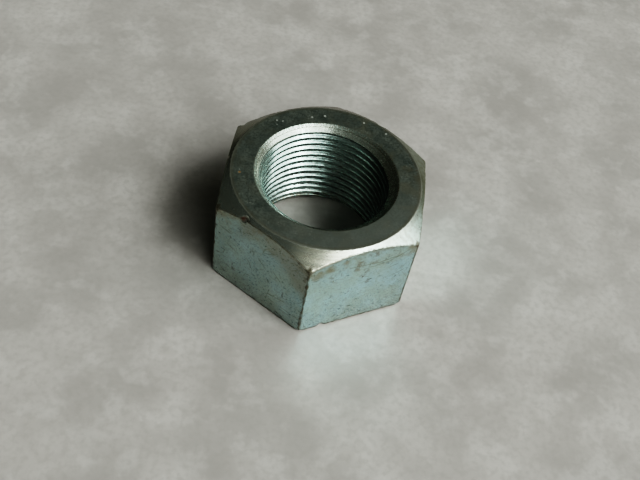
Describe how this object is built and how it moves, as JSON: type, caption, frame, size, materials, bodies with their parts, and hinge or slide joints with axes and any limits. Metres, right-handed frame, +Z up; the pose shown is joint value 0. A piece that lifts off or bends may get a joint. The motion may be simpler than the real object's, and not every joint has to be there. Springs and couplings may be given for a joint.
{
  "type": "hex nut",
  "caption": "Tall hexagon nut with a fine right-hand metric thread, one chamfered face and a countersink at each end.",
  "frame": {"origin": "centre of the plain bearing face at the bottom, on the thread axis", "axes": "+Z up the thread axis, from the bearing face to the chamfered face; +X out through the middle of one spanner flat; Y through two opposite corners"},
  "size_m": [0.0356, 0.041, 0.02],
  "materials": {
    "zinc_plated_steel": "bright zinc plating with a faint blue-green passivation, satin, worn brown along the edges"
  },
  "bodies": {
    "root": {"nut_body": "zinc_plated_steel"}
  },
  "joints": []
}
